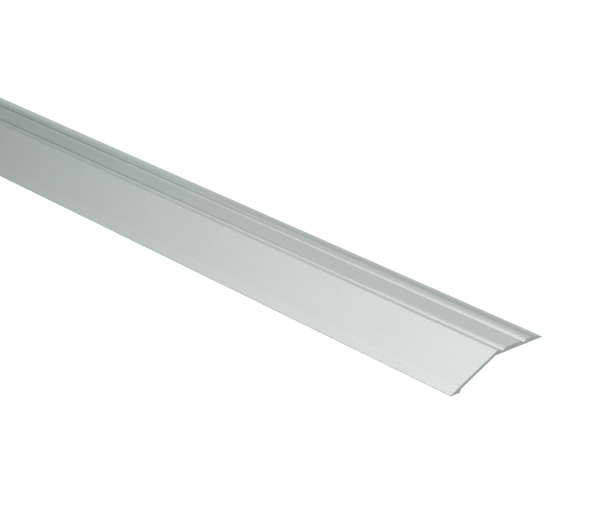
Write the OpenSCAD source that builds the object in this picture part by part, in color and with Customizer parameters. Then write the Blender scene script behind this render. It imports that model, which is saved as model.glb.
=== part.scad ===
// Threshold strip for a step between two floors.
// A one-piece aluminium extrusion: a flat flange lies on the higher floor and a ramp runs down
// to a foot on the lower floor. Two strips of foam tape under the flange bond it down, and each
// tape keeps its release liner until the strip is laid.
//
// X runs along the strip, the ramp goes down towards -Y and Z is up.
// The origin is in the middle of the footprint, on the lower floor.

/* [Strip] */
// Length of the strip
strip_length = 930; // [300:10:2700]
// Width over all, from the back edge of the flange to the toe of the ramp
strip_width = 41; // [39:0.5:60]
// Height of the flange's underside above the lower floor
floor_step = 8; // [6:0.25:8]

/* [Flange] */
// Thickness of the flange
flange_t = 1.5; // [1.2:0.1:2]
// Width of the bevel along the back edge
bevel_width = 5.3; // [3:0.1:7]
// Thickness left at the back edge, under the bevel
back_edge_t = 0.12; // [0.1:0.01:0.4]

/* [Ramp] */
// Slope of the ramp, in degrees
ramp_angle = 24.5; // [24:0.5:28]
// Thickness of the ramp's wall
ramp_t = 1.15; // [1:0.05:1.5]
// Radius of the toe's nose
toe_r = 0.2; // [0.1:0.05:0.3]
// Width of the foot under the toe
foot_width = 4.1; // [3:0.1:5]
// How far the foot's inner wall leans back from the foot's underside
foot_lean = 0.7; // [0:0.1:1]

/* [Grooves] */
// Distance from the back edge to the first groove
groove_at = 7.5; // [7:0.1:8]
// Distance from one groove to the next
groove_pitch = 9.6; // [3:0.1:9.6]
// Number of grooves
groove_count = 2; // [1, 2]
// Width of a groove at the surface
groove_width = 2.1; // [1.5:0.1:2.5]
// Depth of a groove
groove_depth = 0.77; // [0.3:0.01:0.9]

/* [Tape] */
// Width of each strip of tape and of its liner
tape_width = 6; // [3:0.5:6]
// Thickness of the foam tape
tape_t = 0.5; // [0.4:0.1:1]
// Thickness of the release liner
liner_t = 0.12; // [0.08:0.01:0.2]
// Distance from the back edge to the first strip of tape
edge_tape_at = 3.5; // [3:0.5:4]
// Distance from the back edge to the second strip of tape
ridge_tape_at = 14; // [11:0.5:14]
// Distance from each end of the strip to the tape
tape_inset = 5; // [2:1:20]

/* [Hidden] */

// Number of flats that the toe's nose is made of
nose_steps = 8;
// How far a cutting shape reaches past the surface that it cuts
over = 0.5;

top_z = floor_step + flange_t;
tape_length = strip_length - 2 * tape_inset;

// The ramp's upper face touches the toe's nose here.
toe_u = strip_width - toe_r + toe_r * sin(ramp_angle);
toe_z = toe_r + toe_r * cos(ramp_angle);
// Distance from the back edge to the ridge, where the flange's top meets the ramp
ridge_u = toe_u - (top_z - toe_z) / tan(ramp_angle);
// The same for the bend on the underside
bend_u = toe_u - (floor_step - toe_z + ramp_t / cos(ramp_angle)) / tan(ramp_angle);
// Inner edge of the foot's underside, and the place where its inner wall meets the ramp
foot_u = strip_width - foot_width;
foot_top_u = foot_u - foot_lean;

// Places in a groove, as shares of its width and depth: its back wall gets flatter at the break.
groove_break = [0.19, 0.52];
groove_floor = [0.59, 1];

aluminium = [0.80, 0.82, 0.81];
foam_white = [0.92, 0.92, 0.89];
liner_yellow = [0.91, 0.86, 0.68];

// Height of the ramp's underside at distance u from the back edge
function ramp_under(u) = toe_z + (toe_u - u) * tan(ramp_angle) - ramp_t / cos(ramp_angle);

// The toe's nose, as an arc from the ramp's upper face round to the underside of the foot
nose = [
    for (i = [0 : nose_steps])
        let (a = (90 - ramp_angle) - i * (180 - ramp_angle) / nose_steps)
            [strip_width - toe_r + toe_r * cos(a), toe_r + toe_r * sin(a)]
];

// The section's outline. u runs from the back edge towards the toe, and z is up.
module outline() {
    polygon(concat(
        [
            [0, floor_step],
            [0, floor_step + back_edge_t],
            [bevel_width, top_z],
            [ridge_u, top_z]
        ],
        nose,
        [
            [foot_u, 0],
            [foot_top_u, ramp_under(foot_top_u)],
            [bend_u, floor_step]
        ]
    ));
}

// One groove, cut into the flange's top from the edge at u = 0
module groove() {
    polygon([
        [0, over],
        [0, 0],
        [groove_break[0] * groove_width, -groove_break[1] * groove_depth],
        [groove_floor[0] * groove_width, -groove_floor[1] * groove_depth],
        [groove_width, 0],
        [groove_width, over]
    ]);
}

module section() {
    difference() {
        outline();
        for (i = [0 : groove_count - 1])
            translate([groove_at + i * groove_pitch, top_z])
                groove();
    }
}

// Sets a shape drawn in u and z upright in the strip's frame, and runs it along X.
module along_strip(length) {
    rotate([90, 0, 90])
        linear_extrude(height = length, center = true)
            translate([strip_width / 2, 0])
                mirror([1, 0])
                    children();
}

// A flat band under the flange, from distance u, with its top at height z
module band(u, z, thickness) {
    along_strip(tape_length)
        translate([u, z - thickness])
            square([tape_width, thickness]);
}

module threshold_profile() {
    color(aluminium)
        along_strip(strip_length)
            section();
}

module foam_tape_edge_side() {
    color(foam_white)
        band(edge_tape_at, floor_step, tape_t);
}

module foam_tape_ridge_side() {
    color(foam_white)
        band(ridge_tape_at, floor_step, tape_t);
}

module release_liner_edge_side() {
    color(liner_yellow)
        band(edge_tape_at, floor_step - tape_t, liner_t);
}

module release_liner_ridge_side() {
    color(liner_yellow)
        band(ridge_tape_at, floor_step - tape_t, liner_t);
}

threshold_profile();
foam_tape_edge_side();
foam_tape_ridge_side();
release_liner_edge_side();
release_liner_ridge_side();
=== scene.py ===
import math

import bmesh
import bpy
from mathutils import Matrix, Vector


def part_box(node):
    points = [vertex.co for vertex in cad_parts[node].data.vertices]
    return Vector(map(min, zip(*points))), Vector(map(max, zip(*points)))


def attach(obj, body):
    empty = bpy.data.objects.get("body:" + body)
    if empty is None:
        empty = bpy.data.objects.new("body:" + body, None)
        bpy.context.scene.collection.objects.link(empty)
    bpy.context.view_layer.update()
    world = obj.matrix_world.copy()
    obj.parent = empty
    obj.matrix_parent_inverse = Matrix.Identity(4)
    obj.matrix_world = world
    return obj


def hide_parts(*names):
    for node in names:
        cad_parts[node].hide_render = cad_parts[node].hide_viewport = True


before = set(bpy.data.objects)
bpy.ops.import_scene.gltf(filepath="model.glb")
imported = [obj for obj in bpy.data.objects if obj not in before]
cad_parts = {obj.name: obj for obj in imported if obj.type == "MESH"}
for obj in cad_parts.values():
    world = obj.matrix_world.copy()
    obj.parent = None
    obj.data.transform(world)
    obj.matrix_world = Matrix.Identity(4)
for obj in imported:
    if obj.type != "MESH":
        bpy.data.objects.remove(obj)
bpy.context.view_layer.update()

# ---------------------------------------------------------------- driving sizes, in metres
MM = 0.001
low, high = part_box("threshold_profile")
LENGTH = high.x - low.x
WIDTH = high.y - low.y
TOP_Z = high.z
FLANGE_T = 1.5 * MM
UNDER_Z = TOP_Z - FLANGE_T
FLOOR_Z = low.z

BACK_EDGE_T = 0.12 * MM
BEVEL_WIDTH = 5.3 * MM
# The bevel is slightly crowned: its middle stands this far out of the straight line.
BEVEL_CROWN = 0.1 * MM
CROWN_R = 30 * MM
GROOVE_AT = 7.5 * MM
GROOVE_PITCH = 9.6 * MM
GROOVE_COUNT = 2
GROOVE_WIDTH = 2.1 * MM
GROOVE_DEPTH = 0.77 * MM
# Where a groove's back wall gets flatter, and where its floor is, as shares of width and depth
GROOVE_BREAK = (0.19, 0.52)
GROOVE_FLOOR = (0.59, 1.00)

RAMP_ANGLE = math.radians(24.5)
RAMP_T = 1.15 * MM
TOE_R = 0.2 * MM
FOOT_WIDTH = 4.1 * MM
FOOT_LEAN = 0.7 * MM
# Over the foot the metal is thicker, and the ramp's face sinks a little there.
SINK_WIDTH = 1.2 * MM
SINK_DEPTH = 0.012 * MM

RIDGE_R = 0.22 * MM
BEVEL_R = 4 * MM
EDGE_R = 0.05 * MM
GROOVE_LIP_R = 0.06 * MM
GROOVE_FLOOR_R = 0.12 * MM
BEND_R = 0.4 * MM
DEBURR = 0.025 * MM

# Distance between the rings of each mesh, and the angle from which an edge is sharp
PROFILE_STEP = 15 * MM
PROFILE_SHARP = math.radians(30)
BAND_STEP = 3 * MM
BAND_SHARP = math.radians(40)
# Radius of a band's lower edges, as a share of its thickness, and of its upper edges, as a share of that
BAND_LOWER_EDGE = 0.3
BAND_UPPER_EDGE = 0.2
# A tape's sideways stray: the height of each of its two waves, and their radians per metre
WANDER = 0.05 * MM
WANDER_LONG = 71
WANDER_SHORT = 173
# A liner's cockles: their scale, and the radians per metre of the folds, of their groups and of the ripples
COCKLE = 0.03 * MM
COCKLE_FOLDS = 310
COCKLE_GROUPS = 47
COCKLE_RIPPLES = 520
RIPPLE_SHARE = 0.5


# ---------------------------------------------------------------- outlines
def rounded(corners, steps=6):
    """The outline through (u, z, radius) corners, with each corner turned into an arc."""
    points = []
    for i, (u, z, radius) in enumerate(corners):
        here = Vector((u, z))
        before = Vector(corners[i - 1][:2])
        after = Vector(corners[(i + 1) % len(corners)][:2])
        a = (before - here).normalized()
        b = (after - here).normalized()
        half = a.angle(b) / 2
        if radius == 0 or half > math.radians(89.9):
            points.append(here)
            continue
        setback = radius / math.tan(half)
        centre = here + (a + b).normalized() * (radius / math.sin(half))
        start = (here + a * setback - centre).normalized()
        end = (here + b * setback - centre).normalized()
        for k in range(steps + 1):
            points.append(centre + start.slerp(end, k / steps) * radius)
    return points


def groove_corners(at):
    """One groove in the flange's top, whose back wall starts at distance `at` from the back edge."""
    return [
        (at, TOP_Z, GROOVE_LIP_R),
        (at + GROOVE_BREAK[0] * GROOVE_WIDTH, TOP_Z - GROOVE_BREAK[1] * GROOVE_DEPTH, GROOVE_LIP_R),
        (at + GROOVE_FLOOR[0] * GROOVE_WIDTH, TOP_Z - GROOVE_FLOOR[1] * GROOVE_DEPTH, GROOVE_FLOOR_R),
        (at + GROOVE_WIDTH, TOP_Z, GROOVE_LIP_R),
    ]


def section_corners():
    """The strip's section as (u, z, radius), with u from the back edge towards the toe."""
    slope = math.tan(RAMP_ANGLE)
    # The ramp's face and the floor meet here, and the toe's nose rounds this corner off.
    apex_u = WIDTH - TOE_R + TOE_R / math.tan(RAMP_ANGLE / 2)
    ridge_u = apex_u - (TOP_Z - FLOOR_Z) / slope
    drop = RAMP_T / math.cos(RAMP_ANGLE)
    bend_u = apex_u - (UNDER_Z - FLOOR_Z + drop) / slope
    foot_u = WIDTH - FOOT_WIDTH
    foot_top_u = foot_u - FOOT_LEAN
    foot_top_z = FLOOR_Z + (apex_u - foot_top_u) * slope - drop

    def face(u, sink=0.0):
        return FLOOR_Z + (apex_u - u) * slope - sink

    corners = [
        (0, UNDER_Z, EDGE_R),
        (0, UNDER_Z + BACK_EDGE_T, EDGE_R),
        (BEVEL_WIDTH / 2, (UNDER_Z + BACK_EDGE_T + TOP_Z) / 2 + BEVEL_CROWN, CROWN_R),
        (BEVEL_WIDTH, TOP_Z, BEVEL_R),
    ]
    for i in range(GROOVE_COUNT):
        corners += groove_corners(GROOVE_AT + i * GROOVE_PITCH)
    corners += [
        (ridge_u, TOP_Z, RIDGE_R),
        (foot_u - SINK_WIDTH / 2, face(foot_u - SINK_WIDTH / 2), 0),
        (foot_u + SINK_WIDTH / 2, face(foot_u + SINK_WIDTH / 2, SINK_DEPTH), 0),
        (apex_u - SINK_DEPTH / slope, FLOOR_Z, TOE_R),
        (foot_u, FLOOR_Z, EDGE_R * 2),
        (foot_top_u, foot_top_z, EDGE_R * 4),
        (bend_u, UNDER_Z, BEND_R),
    ]
    return corners


def normals_of(outline):
    """The outward normal at each point of an outline that runs from the back edge over the top."""
    found = []
    for i, here in enumerate(outline):
        before = (here - outline[i - 1]).normalized()
        after = (outline[(i + 1) % len(outline)] - here).normalized()
        along = (before + after).normalized()
        found.append(Vector((-along.y, along.x)))
    return found


def at(u, z, x):
    """A point of the section at station x, in the row frame."""
    return (x, high.y - u, z)


# ---------------------------------------------------------------- meshes
def object_from(bm, name, body, node):
    """The finished mesh as a piece that stands for a CAD node and rides on its body."""
    bmesh.ops.recalc_face_normals(bm, faces=bm.faces)
    mesh = bpy.data.meshes.new(name)
    bm.to_mesh(mesh)
    bm.free()
    piece = bpy.data.objects.new(name, mesh)
    bpy.context.scene.collection.objects.link(piece)
    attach(piece, body)
    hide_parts(node)
    return piece


def loft(bm, rings):
    """Quads between rings of points that all have the same number of points."""
    rows = [[bm.verts.new(p) for p in ring] for ring in rings]
    for a, b in zip(rows, rows[1:]):
        for i in range(len(a)):
            j = (i + 1) % len(a)
            bm.faces.new((a[i], a[j], b[j], b[i]))
    return rows


def stations(start, end, step):
    """Even places from start to end, about `step` apart."""
    count = max(1, round((end - start) / step))
    return [start + (end - start) * k / count for k in range(count + 1)]


def threshold_profile():
    """The extruded strip, with its two saw cuts and their light deburring."""
    outline = rounded(section_corners())
    inset = [p - n * DEBURR for p, n in zip(outline, normals_of(outline))]
    body_x = stations(low.x + DEBURR, high.x - DEBURR, PROFILE_STEP)
    rings = [[at(p.x, p.y, low.x) for p in inset]]
    rings += [[at(p.x, p.y, x) for p in outline] for x in body_x]
    rings += [[at(p.x, p.y, high.x) for p in inset]]
    bm = bmesh.new()
    rows = loft(bm, rings)
    for row in (rows[0], rows[-1]):
        cut = bm.faces.new(row)
        cut.material_index = 1
    for row in (rows[0], rows[1], rows[-2], rows[-1]):
        for i in range(len(row)):
            edge = bm.edges.get((row[i - 1], row[i]))
            edge.smooth = False
    piece = object_from(bm, "threshold_strip_profile", "root", "threshold_profile")
    for face in piece.data.polygons:
        face.use_smooth = face.material_index == 0
    piece.data.set_sharp_from_angle(angle=PROFILE_SHARP)
    flat_faces = piece.modifiers.new("flat_faces", "WEIGHTED_NORMAL")
    flat_faces.weight = 100
    flat_faces.keep_sharp = True
    piece.data.materials.append(anodised_aluminium())
    piece.data.materials.append(sawn_aluminium())


def wander(x):
    """How far a tape laid by machine strays sideways at station x."""
    return WANDER * (math.sin(x * WANDER_LONG) + math.sin(x * WANDER_SHORT + 1.3))


def cockle(x):
    """How far the paper of a liner stands off its tape at station x."""
    folds = math.sin(x * COCKLE_FOLDS) * math.sin(x * COCKLE_GROUPS + 0.6)
    ripples = RIPPLE_SHARE * math.sin(x * COCKLE_RIPPLES + 2)
    # At its least, the paper touches its tape.
    return COCKLE * (folds + ripples + 1 + RIPPLE_SHARE)


def band(name, body, node, materials, lift=None):
    """A thin flat band along its CAD node. Its materials are for the sides, the top and the underside."""
    lowest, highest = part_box(node)
    lower_r = (highest.z - lowest.z) * BAND_LOWER_EDGE
    upper_r = lower_r * BAND_UPPER_EDGE
    corners = [
        (lowest.y, lowest.z, lower_r),
        (lowest.y, highest.z, upper_r),
        (highest.y, highest.z, upper_r),
        (highest.y, lowest.z, lower_r),
    ]
    outline = rounded(corners, steps=3)
    rings = []
    for x in stations(lowest.x, highest.x, BAND_STEP):
        aside = wander(x)
        down = lift(x) if lift else 0
        rings.append([(x, p.x + aside, p.y - down) for p in outline])
    bm = bmesh.new()
    rows = loft(bm, rings)
    for row in (rows[0], rows[-1]):
        bm.faces.new(row)
    piece = object_from(bm, name, body, node)
    for face in piece.data.polygons:
        if abs(face.normal.z) > 0.9:
            face.material_index = 1 if face.normal.z > 0 else 2
    piece.data.set_sharp_from_angle(angle=BAND_SHARP)
    for material in materials:
        piece.data.materials.append(material)


# ---------------------------------------------------------------- materials
def new_material(name):
    """A material with its node tree, its shader and a Texture Coordinate node."""
    material = bpy.data.materials.new(name)
    material.use_nodes = True
    tree = material.node_tree
    shader = tree.nodes["Principled BSDF"]
    where = tree.nodes.new("ShaderNodeTexCoord").outputs["Object"]
    return material, tree, shader, where


def noise(tree, where, scale, detail=2.0, roughness=0.5):
    """Noise from 0 to 1 whose features are 1/scale metres along X, Y and Z."""
    mapping = tree.nodes.new("ShaderNodeMapping")
    mapping.inputs["Scale"].default_value = scale
    texture = tree.nodes.new("ShaderNodeTexNoise")
    texture.inputs["Scale"].default_value = 1
    texture.inputs["Detail"].default_value = detail
    texture.inputs["Roughness"].default_value = roughness
    tree.links.new(where, mapping.inputs["Vector"])
    tree.links.new(mapping.outputs["Vector"], texture.inputs["Vector"])
    return texture.outputs["Fac"]


def cells(tree, where, per_metre):
    """Small cells, from 0 in the middle of each to about 1 at its walls."""
    texture = tree.nodes.new("ShaderNodeTexVoronoi")
    texture.inputs["Scale"].default_value = per_metre
    tree.links.new(where, texture.inputs["Vector"])
    return texture.outputs["Distance"]


def ramp(tree, value, start, end, to_start, to_end):
    """The value taken from the range start..end to the range to_start..to_end, and clamped."""
    node = tree.nodes.new("ShaderNodeMapRange")
    node.inputs["From Min"].default_value = start
    node.inputs["From Max"].default_value = end
    node.inputs["To Min"].default_value = to_start
    node.inputs["To Max"].default_value = to_end
    tree.links.new(value, node.inputs["Value"])
    return node.outputs["Result"]


def spread(tree, value, to_start, to_end):
    """Noise, most of which lies from 0.3 to 0.7, taken to the range to_start..to_end."""
    return ramp(tree, value, 0.3, 0.7, to_start, to_end)


def math_node(tree, operation, a, b):
    node = tree.nodes.new("ShaderNodeMath")
    node.operation = operation
    for socket, value in zip(node.inputs, (a, b)):
        if isinstance(value, (int, float)):
            socket.default_value = value
        else:
            tree.links.new(value, socket)
    return node.outputs["Value"]


def mix_colours(tree, factor, first, second):
    node = tree.nodes.new("ShaderNodeMix")
    node.data_type = "RGBA"
    tree.links.new(factor, node.inputs["Factor"])
    for socket, value in ((node.inputs[6], first), (node.inputs[7], second)):
        if isinstance(value, tuple):
            socket.default_value = (*value, 1)
        else:
            tree.links.new(value, socket)
    return node.outputs[2]


def bump(tree, shader, layers):
    """Bumps on the shader's normal, from (height, distance in metres) layers."""
    normal = None
    for height, distance in layers:
        node = tree.nodes.new("ShaderNodeBump")
        node.inputs["Strength"].default_value = 1
        node.inputs["Distance"].default_value = distance
        tree.links.new(height, node.inputs["Height"])
        if normal is not None:
            tree.links.new(normal, node.inputs["Normal"])
        normal = node.outputs["Normal"]
    tree.links.new(normal, shader.inputs["Normal"])


ALUMINIUM_DARK = (0.615, 0.68, 0.665)
ALUMINIUM_LIGHT = (0.685, 0.75, 0.735)
GLOSS_LOW = 0.30
GLOSS_HIGH = 0.36
# Shares of the aluminium's tone that come from each pattern
CLOUD_SHARE = 0.2
LINE_SHARE = 0.1
GRAIN_SHARE = 0.3
SPECKLE_SHARE = 0.4
TOE_LINE_SHARE = 0.55
# The toe line's distance from the back edge, the width of each of its flanks, and its trace below
TOE_LINE_AT = 37.7 * MM
TOE_LINE_FADE = 0.5 * MM
TOE_LINE_TRACE = 0.38
SAWN_DARK = (0.31, 0.335, 0.33)
SAWN_LIGHT = (0.39, 0.415, 0.41)
# The foam's two tones. The cloud varies between them, and the dark one also stands for painted shade in the
# hollows of the cut cells.
FOAM_DARK = (0.60, 0.60, 0.56)
FOAM_LIGHT = (0.86, 0.86, 0.82)
ADHESIVE_DARK = (0.68, 0.67, 0.60)
ADHESIVE_LIGHT = (0.78, 0.77, 0.70)
PAPER_DARK = (0.66, 0.565, 0.345)
PAPER_LIGHT = (0.80, 0.71, 0.475)
PAPER_FLECK = (0.50, 0.41, 0.24)


def toe_line(tree, where):
    """A faint light line along the ramp, where the foot's thicker metal starts, and a trace of it below."""
    place = tree.nodes.new("ShaderNodeSeparateXYZ")
    tree.links.new(where, place.inputs["Vector"])
    middle = high.y - TOE_LINE_AT
    rise = ramp(tree, place.outputs["Y"], middle + TOE_LINE_FADE, middle, 0, 1)
    fall = ramp(tree, place.outputs["Y"], middle, middle - TOE_LINE_FADE, 1, TOE_LINE_TRACE)
    return math_node(tree, "MULTIPLY", rise, fall)


def anodised_aluminium():
    material, tree, shader, where = new_material("anodised_aluminium")
    lines = noise(tree, where, (1.5, 1600, 1600), 3)
    fine_lines = noise(tree, where, (6, 4500, 4500), 2)
    grain = noise(tree, where, (2600, 2600, 2600), 2)
    speckle = noise(tree, where, (1100, 1100, 1100), 1)
    cloud = noise(tree, where, (45, 70, 70), 3)

    tone = None
    patterns = ((cloud, CLOUD_SHARE), (lines, LINE_SHARE), (grain, GRAIN_SHARE), (speckle, SPECKLE_SHARE))
    for pattern, share in patterns:
        part = spread(tree, pattern, 0, share)
        tone = part if tone is None else math_node(tree, "ADD", tone, part)
    tone = math_node(tree, "ADD", tone, math_node(tree, "MULTIPLY", toe_line(tree, where), TOE_LINE_SHARE))
    tree.links.new(mix_colours(tree, tone, ALUMINIUM_DARK, ALUMINIUM_LIGHT), shader.inputs["Base Color"])

    tree.links.new(spread(tree, grain, GLOSS_LOW, GLOSS_HIGH), shader.inputs["Roughness"])
    shader.inputs["Metallic"].default_value = 1
    bump(tree, shader, [(lines, 0.002 * MM), (fine_lines, 0.0008 * MM), (grain, 0.0012 * MM)])
    return material


def sawn_aluminium():
    """The cut ends: bare metal with the upright, slightly curved marks of a saw blade."""
    material, tree, shader, where = new_material("sawn_aluminium")
    marks = noise(tree, where, (500, 5200, 260), 2)
    scratches = noise(tree, where, (500, 1400, 160), 3)
    tree.links.new(mix_colours(tree, marks, SAWN_DARK, SAWN_LIGHT), shader.inputs["Base Color"])
    tree.links.new(spread(tree, scratches, 0.42, 0.55), shader.inputs["Roughness"])
    shader.inputs["Metallic"].default_value = 1
    bump(tree, shader, [(marks, 0.012 * MM), (scratches, 0.01 * MM)])
    return material


def foam():
    """The cut sides of the tape: white foam, with its cells cut open, and painted shade in the hollow of
    each open cell.
    """
    material, tree, shader, where = new_material("foam_tape")
    walls = cells(tree, where, 5000)
    cloud = noise(tree, where, (400, 400, 400), 2)
    # Painted shade: each cut cell is darker towards its middle, where its hollow lies, and lighter at its
    # walls.
    painted_cell_shading = ramp(tree, walls, 0.1, 0.6, 0, 0.7)
    tone = math_node(tree, "ADD", painted_cell_shading, spread(tree, cloud, 0, 0.3))
    tree.links.new(mix_colours(tree, tone, FOAM_DARK, FOAM_LIGHT), shader.inputs["Base Color"])
    tree.links.new(ramp(tree, walls, 0.1, 0.6, 0.65, 0.85), shader.inputs["Roughness"])
    bump(tree, shader, [(walls, 0.08 * MM)])
    return material


def adhesive():
    """The flat faces of the tape: a clear film of adhesive over the foam, dimpled by the liner."""
    material, tree, shader, where = new_material("tape_adhesive")
    walls = cells(tree, where, 3200)
    dimples = noise(tree, where, (700, 700, 700), 3)
    streaks = noise(tree, where, (20, 900, 900), 2)
    tone = math_node(tree, "ADD", ramp(tree, walls, 0.1, 0.6, 0, 0.5), spread(tree, streaks, 0, 0.5))
    tree.links.new(mix_colours(tree, tone, ADHESIVE_DARK, ADHESIVE_LIGHT), shader.inputs["Base Color"])
    tree.links.new(ramp(tree, dimples, 0.35, 0.65, 0.22, 0.42), shader.inputs["Roughness"])
    shader.inputs["Coat Weight"].default_value = 0.5
    shader.inputs["Coat Roughness"].default_value = 0.12
    bump(tree, shader, [(dimples, 0.03 * MM), (walls, 0.01 * MM)])
    return material


def liner(name, gloss_low, gloss_high):
    """Pale yellow paper: long fibres, darker flecks, and a soft waviness across the band."""
    material, tree, shader, where = new_material(name)
    fibres = noise(tree, where, (700, 2600, 2600), 4, 0.65)
    cloud = noise(tree, where, (70, 220, 220), 3)
    flecks = noise(tree, where, (900, 1500, 1500), 1)
    waves = noise(tree, where, (160, 25, 25), 2)
    tone = math_node(tree, "ADD", spread(tree, fibres, 0, 0.6), spread(tree, cloud, 0, 0.4))
    paper = mix_colours(tree, tone, PAPER_DARK, PAPER_LIGHT)
    fleck = ramp(tree, flecks, 0.70, 0.76, 0, 0.45)
    tree.links.new(mix_colours(tree, fleck, paper, PAPER_FLECK), shader.inputs["Base Color"])
    tree.links.new(spread(tree, fibres, gloss_low, gloss_high), shader.inputs["Roughness"])
    bump(tree, shader, [(waves, 0.15 * MM), (fibres, 0.008 * MM)])
    return material


# ---------------------------------------------------------------- studio
FLOOR_SIZE = 60.0
FLOOR_DROP = 0.05 * MM
LIGHT_DISTANCE = 2.0


def towards(azimuth, elevation):
    """The direction out from the strip: azimuth 0 faces the toe and 90 the near end, in degrees."""
    a, e = math.radians(azimuth), math.radians(elevation)
    return Vector((math.sin(a) * math.cos(e), -math.cos(a) * math.cos(e), math.sin(e)))


def studio_floor():
    """A plain white floor. From below it can be seen through, so that the underside can be looked at."""
    mesh = bpy.data.meshes.new("studio_floor")
    half = FLOOR_SIZE / 2
    z = FLOOR_Z - FLOOR_DROP
    corners = [(-half, -half, z), (half, -half, z), (half, half, z), (-half, half, z)]
    mesh.from_pydata(corners, [], [(0, 1, 2, 3)])
    floor = bpy.data.objects.new("studio_floor", mesh)
    bpy.context.scene.collection.objects.link(floor)
    material = bpy.data.materials.new("studio_floor")
    material.use_nodes = True
    tree = material.node_tree
    shader = tree.nodes["Principled BSDF"]
    shader.inputs["Base Color"].default_value = (0.1, 0.1, 0.1, 1)
    shader.inputs["Roughness"].default_value = 0.9
    shader.inputs["Emission Color"].default_value = (1, 1, 1, 1)
    shader.inputs["Emission Strength"].default_value = 1
    clear = tree.nodes.new("ShaderNodeBsdfTransparent")
    sides = tree.nodes.new("ShaderNodeMixShader")
    tree.links.new(tree.nodes.new("ShaderNodeNewGeometry").outputs["Backfacing"], sides.inputs[0])
    tree.links.new(shader.outputs["BSDF"], sides.inputs[1])
    tree.links.new(clear.outputs["BSDF"], sides.inputs[2])
    tree.links.new(sides.outputs["Shader"], tree.nodes["Material Output"].inputs["Surface"])
    mesh.materials.append(material)


def softbox(name, azimuth, elevation, size, radiance, tint=(1, 1, 1)):
    """A square soft light on a dome round the middle of the view, facing it."""
    out = towards(azimuth, elevation)
    data = bpy.data.lights.new(name, "AREA")
    data.shape = "SQUARE"
    data.size = size
    # A square of side s and power P has the radiance P / (pi s^2).
    data.energy = radiance * math.pi * size * size
    data.color = tint
    lamp = bpy.data.objects.new(name, data)
    bpy.context.scene.collection.objects.link(lamp)
    lamp.location = aim + out * LIGHT_DISTANCE
    lamp.rotation_euler = (-out).to_track_quat("-Z", "Y").to_euler()
    lamp.visible_camera = False


def surroundings(colour):
    world = bpy.data.worlds.new("studio")
    world.use_nodes = True
    world.node_tree.nodes["Background"].inputs["Color"].default_value = (*colour, 1)
    bpy.context.scene.world = world


# The camera looks at a point on the middle line of the strip's top, this far from the near end.
VIEW_AZIMUTH = 49.22
VIEW_ELEVATION = 23.20
VIEW_DISTANCE = 0.7136
VIEW_INSET = 0.09281
LENS = 121.8
aim = Vector((high.x - VIEW_INSET, 0, TOP_Z))


def camera():
    data = bpy.data.cameras.new("camera")
    data.lens = LENS
    data.sensor_width = 36
    back = towards(VIEW_AZIMUTH, VIEW_ELEVATION)
    eye = bpy.data.objects.new("camera", data)
    bpy.context.scene.collection.objects.link(eye)
    eye.location = aim + back * VIEW_DISTANCE
    eye.rotation_euler = (-back).to_track_quat("-Z", "Y").to_euler()
    bpy.context.scene.camera = eye


# ---------------------------------------------------------------- the scene
threshold_profile()
tape_adhesive = adhesive()
tape_materials = (foam(), tape_adhesive, tape_adhesive)
paper = liner("release_liner", 0.42, 0.58)
liner_materials = (paper, liner("release_liner_silicone_side", 0.2, 0.3), paper)
for side in ("edge_side", "ridge_side"):
    band(f"foam_tape_{side}_band", "root", f"foam_tape_{side}", tape_materials)
for side, body in (("edge_side", "edge_liner"), ("ridge_side", "ridge_liner")):
    node = f"release_liner_{side}"
    band(f"{node}_band", body, node, liner_materials, cockle)

# The strip mirrors the lights on the left towards the camera. The others light its other sides.
studio_floor()
surroundings((0.12, 0.12, 0.12))
softbox("left", 262, 50, 1.2, 0.56, (0.84, 1, 0.95))
softbox("left_high", 262, 62, 1.4, 0.46, (1, 0.76, 0.83))
softbox("left_front", 308, 45, 0.9, 0.69, (0.78, 1, 0.96))
softbox("left_front_high", 310, 60, 1.2, 1.06, (1, 0.67, 0.69))
softbox("left_low", 240, 8, 0.8, 0.38, (0.82, 1, 0.95))
softbox("far_end", 276, 6, 0.9, 0.45)
softbox("left_back_high", 222, 50, 1.2, 0.59, (0.8, 1, 0.9))
softbox("left_back", 222, 35, 1.0, 0.57, (1, 0.93, 0.95))
softbox("left_back_low", 218, 8, 0.8, 0.29, (0.97, 1, 0.97))
softbox("back", 180, 50, 1.6, 0.6)
softbox("right", 90, 45, 1.6, 0.7)
softbox("right_low", 90, 15, 1.2, 0.5)
softbox("right_front", 45, 28, 1.6, 0.6)
softbox("front", 0, 45, 1.6, 0.2)
softbox("top", 0, 89, 1.6, 0.4)
camera()
bpy.context.scene.view_settings.view_transform = "Standard"
